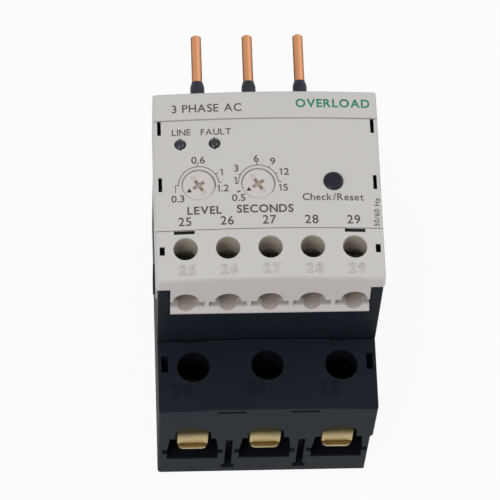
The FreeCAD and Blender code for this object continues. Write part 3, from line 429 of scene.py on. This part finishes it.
# Painted shade: the terminal screws get a dark steel that stands for the shade deep in their bores.
shade_dark_screw = drawn_metal("shade_dark_steel", (0.13, 0.125, 0.115), (0.07, 0.068, 0.062), 0.42, (1, 1, 0.1))
clamp_brass = leaf_brass("clamp_brass", *LEAF_SHADE_ENDS)
OWN_FINISHES = {
    **{name: shade_dark_screw for name in nodes if "_screw_" in name},
    **{name: clamp_brass for name in nodes if name.startswith("load_clamp_")},
    "base_housing": moulded("housing_moulding", *BLACK, specular=0.06, shaded=load_terminals),
    "front_cover": cream_part("cover_moulding", False),
    "terminal_block": cream_part("block_moulding", True),
    "current_dial": set_dial("current_dial_moulding", front(CURRENT_X, DIAL_Y) - DIAL_SUNK),
    "time_dial": set_dial("time_dial_moulding", front(TIME_X, DIAL_Y) - DIAL_SUNK),
    "power_lamp": moulded(
        "lens_navy", (0.030, 0.028, 0.046), (0.020, 0.019, 0.032), 0.30, 0.8, 0.001, coat=0.3),
}
slot_of = {row["node"]: row["material_slot"] for row in frame["record"]["subparts"]}
for name, node in nodes.items():
    node.data.materials.clear()
    node.data.materials.append(OWN_FINISHES.get(name) or FINISHES[slot_of[name]])


# Prints and raised numbers: drawn flat in millimetres, then laid on a face

ROOT, INK = 0.02, 0.04
SAME_POINT = 1e-4
CAP_HEIGHT = 0.682
REGULAR, BOLD = 0.010, 0.022
LETTER_GAP, WORD_GAP = 0.10, 0.36
SIDE_ROOM = {".": 0.02, "1": 0.10}
ONE = [(0.0, 0.49), (0.13, 0.57), (0.13, 0), (0.23, 0), (0.23, CAP_HEIGHT), (0.16, CAP_HEIGHT), (0.0, 0.58)]


def glyph(sign, weight):
    """A flat letter of unit size. The figure one has a flag, which the built-in font leaves out."""
    shape = bmesh.new()
    if sign == "1":
        shape.faces.new([shape.verts.new((x, y, 0)) for x, y in ONE])
        return shape
    data = bpy.data.curves.new("letter", "FONT")
    data.body = sign
    data.offset = weight
    data.resolution_u = 4
    holder = bpy.data.objects.new("letter", data)
    bpy.context.scene.collection.objects.link(holder)
    made = bpy.data.meshes.new_from_object(holder.evaluated_get(bpy.context.evaluated_depsgraph_get()))
    shape.from_mesh(made)
    bpy.data.objects.remove(holder)
    bpy.data.curves.remove(data)
    bpy.data.meshes.remove(made)
    return shape


def add_shape(sheet, shape, matrix):
    """Add a shape to a sheet, moved by a matrix. The shape is used up."""
    bmesh.ops.transform(shape, matrix=matrix, verts=shape.verts)
    data = bpy.data.meshes.new("shape")
    shape.to_mesh(data)
    shape.free()
    sheet.from_mesh(data)
    bpy.data.meshes.remove(data)


def draw_text(sheet, text, x, y, height, weight=REGULAR, turn=0.0, gap=LETTER_GAP, wide=1.0):
    """Set a text about a middle, its capitals of a height. Wide letters are drawn out sideways."""
    rooms = [SIDE_ROOM.get(sign, gap / 2) for sign in text]
    shapes = []
    pen = 0.0
    for sign, room in zip(text, rooms):
        if sign == " ":
            pen += WORD_GAP
            continue
        shape = glyph(sign, weight)
        low = min(vertex.co.x for vertex in shape.verts)
        high = max(vertex.co.x for vertex in shape.verts)
        shapes.append((shape, pen + room - low))
        pen += high - low + room * 2
    size = height / CAP_HEIGHT
    middle = Vector(((pen + rooms[0] - rooms[-1]) / 2, CAP_HEIGHT / 2, 0))
    place = Matrix.Translation((x, y, 0)) @ Matrix.Rotation(turn, 4, "Z")
    place = place @ Matrix.Diagonal((size * wide, size, size, 1))
    for shape, start in shapes:
        add_shape(sheet, shape, place @ Matrix.Translation(Vector((start, 0, 0)) - middle))


def polar(middle, radius, degrees):
    """A point at a radius and an angle about a middle."""
    angle = math.radians(degrees)
    return Vector((middle[0] + radius * math.cos(angle), middle[1] + radius * math.sin(angle), 0))


def draw_arc(sheet, middle, radius, width, start, end):
    """A band round a middle between two angles in degrees."""
    verts = [sheet.verts.new(polar(middle, radius + side, start)) for side in (-width / 2, width / 2)]
    edge = sheet.edges.new(verts)
    bmesh.ops.spin(sheet, geom=[edge, *verts], cent=(*middle, 0), axis=(0, 0, 1),
                   angle=math.radians(end - start), steps=40)


def draw_line(sheet, first, last, width):
    """A straight band between two points."""
    along = (last - first).normalized() * (width / 2)
    side = Vector((-along.y, along.x, 0))
    sheet.faces.new([sheet.verts.new(point) for point in (
        first - side, last - side, last + side, first + side)])


def draw_scale(sheet, x, start, end, ticks):
    """The arc round a dial, with its ticks as (angle, length)."""
    middle = (x, DIAL_Y)
    draw_arc(sheet, middle, SCALE_RADIUS, LINE, start, end)
    for angle, length in ticks:
        end_radius = SCALE_RADIUS + length
        draw_line(sheet, polar(middle, SCALE_RADIUS, angle), polar(middle, end_radius, angle), LINE)


def lay(sheet, height):
    """Put a sheet on a face, and turn millimetres into metres."""
    for vertex in sheet.verts:
        vertex.co.z += height(vertex.co.x, vertex.co.y)
        vertex.co *= MM
    return sheet


def raise_sheet(sheet, rise):
    """Turn a flat sheet into closed figures that stand on a face and reach a little into it."""
    bmesh.ops.remove_doubles(sheet, verts=sheet.verts[:], dist=SAME_POINT)
    grown = bmesh.ops.extrude_face_region(sheet, geom=sheet.faces[:], use_keep_orig=True)
    tops = [item for item in grown["geom"] if isinstance(item, bmesh.types.BMVert)]
    bmesh.ops.translate(sheet, verts=tops, vec=(0, 0, rise))
    bmesh.ops.translate(sheet, verts=sheet.verts[:], vec=(0, 0, -ROOT))
    bmesh.ops.recalc_face_normals(sheet, faces=sheet.faces[:])
    return sheet


def add_piece(name, sheet, body, finish):
    """A piece that rides a body and takes a finish."""
    piece = new_piece(name, sheet)
    piece.data.materials.append(finish)
    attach(piece, body)


def new_piece(name, mesh):
    """An object at the origin from a bmesh, which is used up."""
    data = bpy.data.meshes.new(name)
    mesh.to_mesh(data)
    mesh.free()
    piece = bpy.data.objects.new(name, data)
    bpy.context.scene.collection.objects.link(piece)
    return piece


SCALE_RADIUS, LINE, TICK, SHORT_TICK = 4.78, 0.18, 0.8, 0.6
CURRENT_ENDS, CURRENT_TICKS = (5, 180), [(93, TICK), (33, TICK), (5, TICK)]
TIME_ENDS = (4, 180)
TIME_TICKS = [
    (180, TICK), (152, SHORT_TICK), (92, TICK), (58, SHORT_TICK), (30, SHORT_TICK), (4, TICK)]
CORNER_DROP = 1.9
LOW_MARK, LOW_MARK_ENDS = 204, (4.7, 5.6)
POINTER = math.radians(213)
POINTER_TIP, POINTER_BACK, POINTER_HALF = 3.45, 2.33, 0.63
FIGURE, FIGURE_WIDE, CAPTION = 1.75, 1.08, 1.95
TERMINAL_FIGURE, TERMINAL_FIGURE_Y = 2.15, 0.8
FIGURE_RISE, RAISED_WEIGHT, RAISED_GAP = 0.32, 0.008, 0.22
AUX_RAISED_SHIFT, AUX_RAISED_Y, AUX_RAISED = 0.2, -11.85, 2.35
LOAD_RAISED_SHIFT, LOAD_RAISED_Y, LOAD_RAISED = -3.0, -29.4, 3.0
AUX_XS = [-20, -10, 0, 10, 20]
FIRST_TERMINAL = 25
LOAD_XS = [-18, 0, 18]
CURRENT_FIGURES = [("0.3", -21.5, 6.85), ("0.6", -16.45, 16.85), ("1", -11.0, 13.5), ("1.2", -10.75, 9.25)]
TIME_FIGURES = [
    ("0.5", -7.1, 6.65), ("1", -7.75, 11.25), ("3", -7.45, 14.4), ("6", -2.6, 16.85), ("9", 1.3, 16.05),
    ("12", 3.95, 13.3), ("15", 3.6, 9.15)]
CAPTIONS = [
    ("3 PHASE AC", -14.05, 30.5, 2.0), ("LINE", -20.3, 24.35, 1.6), ("FAULT", -12.0, 24.25, 1.6),
    ("Check/Reset", 15.4, 6.65, 1.75)]
BOLD_CAPTIONS = [("LEVEL", -15.25, 3.6), ("SECONDS", -0.9, 3.7)]
GREEN_CAPTION = ("OVERLOAD", 16.3, 31.4, 2.1)
UPRIGHT_CAPTION, UPRIGHT = ("50/60 Hz", 25.65, 2.8, 1.25), math.radians(87)


def front_print():
    """Everything printed on the cover: scales, figures, captions and terminal numbers."""
    sheet = bmesh.new()
    draw_scale(sheet, CURRENT_X, *CURRENT_ENDS, CURRENT_TICKS)
    draw_scale(sheet, TIME_X, *TIME_ENDS, TIME_TICKS)
    corner = Vector((CURRENT_X - SCALE_RADIUS - TICK, DIAL_Y, 0))
    draw_line(sheet, corner, corner + Vector((TICK, 0, 0)), LINE)
    draw_line(sheet, corner, corner - Vector((0, CORNER_DROP, 0)), LINE)
    first, last = (polar((TIME_X, DIAL_Y), radius, LOW_MARK) for radius in LOW_MARK_ENDS)
    draw_line(sheet, first, last, LINE * 2)
    for text, x, y in CURRENT_FIGURES + TIME_FIGURES:
        draw_text(sheet, text, x, y, FIGURE, wide=FIGURE_WIDE)
    for text, x, y, height in CAPTIONS:
        draw_text(sheet, text, x, y, height)
    for text, x, y in BOLD_CAPTIONS:
        draw_text(sheet, text, x, y, CAPTION, BOLD)
    for number, x in enumerate(AUX_XS, FIRST_TERMINAL):
        draw_text(sheet, str(number), x, TERMINAL_FIGURE_Y, TERMINAL_FIGURE)
    draw_text(sheet, *UPRIGHT_CAPTION, turn=UPRIGHT)
    raise_sheet(sheet, INK)
    add_piece("front_print", lay(sheet, front), "relay_body", PRINT)
    sheet = bmesh.new()
    draw_text(sheet, *GREEN_CAPTION, BOLD)
    raise_sheet(sheet, INK)
    add_piece("header_print", lay(sheet, front), "relay_body", GREEN)


def raised_numbers():
    """Raised figures below the terminals, of the plastic they stand on."""
    sheet = bmesh.new()
    for number, x in enumerate(AUX_XS, FIRST_TERMINAL):
        place = (x + AUX_RAISED_SHIFT, AUX_RAISED_Y, AUX_RAISED)
        draw_text(sheet, str(number), *place, RAISED_WEIGHT, gap=RAISED_GAP)
    raise_sheet(sheet, FIGURE_RISE)
    cream = FINISHES["cream_housing"]
    add_piece("terminal_numbers", lay(sheet, front), "relay_body", cream)
    sheet = bmesh.new()
    for number, x in enumerate(LOAD_XS, FIRST_TERMINAL + len(AUX_XS)):
        place = (x + LOAD_RAISED_SHIFT, LOAD_RAISED_Y, LOAD_RAISED)
        draw_text(sheet, str(number), *place, RAISED_WEIGHT, gap=RAISED_GAP)
    raise_sheet(sheet, FIGURE_RISE)
    black = FINISHES["black_housing"]
    add_piece("load_numbers", lay(sheet, load_face), "relay_body", black)


def pointer_print(name, x):
    """Black paint in the sunk pointer of a dial."""
    sheet = bmesh.new()
    middle = Vector((x, DIAL_Y, 0))
    along = Vector((math.cos(POINTER), math.sin(POINTER), 0))
    side = Vector((-along.y, along.x, 0))
    back = middle + along * POINTER_BACK
    corners = [middle + along * POINTER_TIP, back + side * POINTER_HALF, back - side * POINTER_HALF]
    sheet.faces.new([sheet.verts.new(corner) for corner in corners])
    raise_sheet(sheet, INK)
    floor = front(x, DIAL_Y) - DIAL_SUNK - POINTER_SUNK
    add_piece(f"{name}_pointer", lay(sheet, lambda u, v: floor), name, PAINT)


PRINT = ink("print_ink", (0.085, 0.068, 0.062))
PAINT = ink("pointer_paint", (0.045, 0.038, 0.036))
GREEN = ink("green_ink", (0.002, 0.22, 0.115))
front_print()
raised_numbers()
pointer_print("current_dial", CURRENT_X)
pointer_print("time_dial", TIME_X)


# Floor, light and camera

FLOOR_SIZE, FLOOR_BELOW = 3.0, 0.1
FLOOR_WHITE, FLOOR_GLOW = 0.80, 0.92
SURROUND = 0.49


def studio():
    """A pale floor that looks white and keeps the shadow, a white surround, and soft lamps."""
    finish = Finish("floor_paint")
    path = finish.tree.nodes.new("ShaderNodeLightPath")
    seen = Signal(finish, path.outputs["Is Camera Ray"])
    mirrored = Signal(finish, path.outputs["Is Glossy Ray"])
    through = Signal(finish, path.outputs["Is Transmission Ray"])
    bright = finish.node("ShaderNodeMath", {"operation": "MINIMUM"}, {0: seen + mirrored + through, 1: 1.0})
    matt = finish.node("ShaderNodeBsdfDiffuse", None, {"Color": (FLOOR_WHITE, FLOOR_WHITE, FLOOR_WHITE, 1)})
    glow = finish.node("ShaderNodeEmission", None, {"Color": (1, 1, 1, 1), "Strength": 1.0})
    finish.done(finish.node("ShaderNodeMixShader", None, {0: bright * FLOOR_GLOW, 1: matt, 2: glow}))
    floor_mesh = bmesh.new()
    bmesh.ops.create_grid(floor_mesh, x_segments=1, y_segments=1, size=FLOOR_SIZE)
    bmesh.ops.translate(floor_mesh, verts=floor_mesh.verts[:], vec=(0, 0, -FLOOR_BELOW * MM))
    floor = new_piece("floor", floor_mesh)
    floor.data.materials.append(finish.material)
    world = bpy.data.worlds.new("surround")
    world.use_nodes = True
    back = world.node_tree.nodes["Background"]
    back.inputs["Color"].default_value = (1, 1, 1, 1)
    back.inputs["Strength"].default_value = SURROUND
    bpy.context.scene.world = world
    lamp("key_lamp", place=(-0.35, -0.45, 0.75), size=0.45, watts=3.25)
    lamp("fill_lamp", place=(0.5, 0.1, 0.6), size=0.5, watts=1.3)


def lamp(name, place, size, watts):
    """A square soft lamp that looks at the part."""
    light = bpy.data.lights.new(name, "AREA")
    light.size = size
    light.energy = watts
    holder = bpy.data.objects.new(name, light)
    bpy.context.scene.collection.objects.link(holder)
    holder.location = place
    aim = Vector((0, 0.01, 0.05)) - holder.location
    holder.rotation_mode = "QUATERNION"
    holder.rotation_quaternion = aim.to_track_quat("-Z", "Y")


def camera():
    """The camera of the photograph: a little to one side of the front, and looking down the slope."""
    yaw, pitch, roll = 0.0513, -0.4233, 0.0369
    focal_px = 3018.7
    distance = 712.06
    across, up = 4.773, 1.200
    turn = Matrix.Rotation(roll, 3, "Z") @ Matrix.Rotation(pitch, 3, "X") @ Matrix.Rotation(yaw, 3, "Y")
    eye = turn.transposed() @ Vector((-across, -up, distance))
    front_middle = Vector((0, -5.25, 73.4))
    data = bpy.data.cameras.new("photo_camera")
    data.sensor_width = 36
    data.lens = focal_px / PHOTO * data.sensor_width
    data.clip_start, data.clip_end = 0.01, 20
    holder = bpy.data.objects.new("photo_camera", data)
    bpy.context.scene.collection.objects.link(holder)
    holder.matrix_world = Matrix.Translation((eye + front_middle) * MM) @ turn.transposed().to_4x4()
    bpy.context.scene.camera = holder


studio()
camera()
bpy.context.scene.view_settings.view_transform = "Standard"
